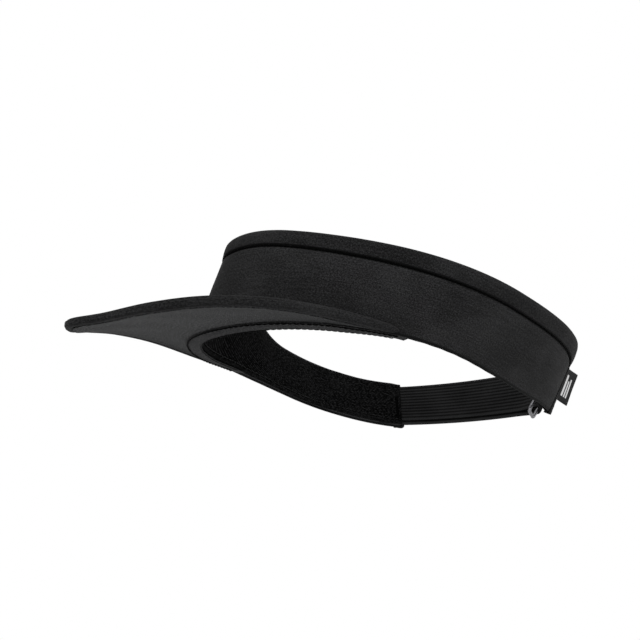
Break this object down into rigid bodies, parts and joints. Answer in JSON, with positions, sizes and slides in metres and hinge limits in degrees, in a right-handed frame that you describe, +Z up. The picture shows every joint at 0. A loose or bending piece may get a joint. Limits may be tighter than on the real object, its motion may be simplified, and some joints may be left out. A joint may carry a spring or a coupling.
{
  "type": "sun visor",
  "caption": "Sports sun visor: tall fabric crown band with bound top edge, arched peak, ribbed sweatband, doubled elastic rear strap looped through a metal ring, and a small side tag.",
  "frame": {"origin": "centre of the head opening, at the height of the crown band's lower edge at the sides of the head", "axes": "+Z up, out of the top of the head opening; +Y towards the back of the head, so the peak points to -Y; +X is the wearer's left, the side of the metal ring"},
  "size_m": [0.1718, 0.2635, 0.0749],
  "materials": {
    "shell_twill": "fine matt black twill with a soft sheen",
    "stiffener_fabric": "black pressed interlining, hidden",
    "foam_pad": "soft foam, hidden",
    "sweat_knit": "matt black absorbent knit with fine slanted ribs",
    "thread": "black sewing thread",
    "under_twill": "heather charcoal cloth, matt",
    "board": "flexible plastic peak board, hidden",
    "elastic": "black elastic webbing with lengthwise ribs",
    "ring_metal": "smooth light metal wire",
    "tag_weave": "black woven tag with plain pale bars"
  },
  "bodies": {
    "visor": {"crown_shell": "shell_twill", "top_binding": "shell_twill", "rear_end_fold_left": "shell_twill", "rear_end_fold_right": "shell_twill", "peak_top_cover": "shell_twill", "peak_edge_binding": "shell_twill", "ring_tab": "shell_twill", "crown_interlining": "stiffener_fabric", "forehead_foam": "foam_pad", "sweatband": "sweat_knit", "sweatband_hem": "sweat_knit", "binding_topstitch": "thread", "peak_stitch_row_outer": "thread", "peak_stitch_row_inner": "thread", "tab_bartack": "thread", "anchor_bartack": "thread", "peak_under_cover": "under_twill", "peak_seam_tape": "under_twill", "peak_seam_allowance": "under_twill", "peak_board": "board", "strap_inner_layer": "elastic", "strap_outer_layer": "elastic", "strap_anchor_patch": "elastic"},
    "ring": {"end_ring": "ring_metal", "strap_ring_loop": "elastic"},
    "tag": {"woven_tag": "tag_weave"}
  },
  "joints": [
    {"name": "ring_swivel", "type": "hinge", "parent": "visor", "child": "ring", "pos_m": [0.05373, 0.0733, 0.02215], "axis": [0.3535, 0.1793, 0.9181], "range_deg": [-3, 4], "stiffness_Nm_per_rad": 0.01},
    {"name": "tag_flex", "type": "hinge", "parent": "visor", "child": "tag", "pos_m": [0.05642, 0.08602, 0.0235], "axis": [0.2953, 0.055, 0.9538], "range_deg": [-60, 40], "stiffness_Nm_per_rad": 0.00005}
  ]
}
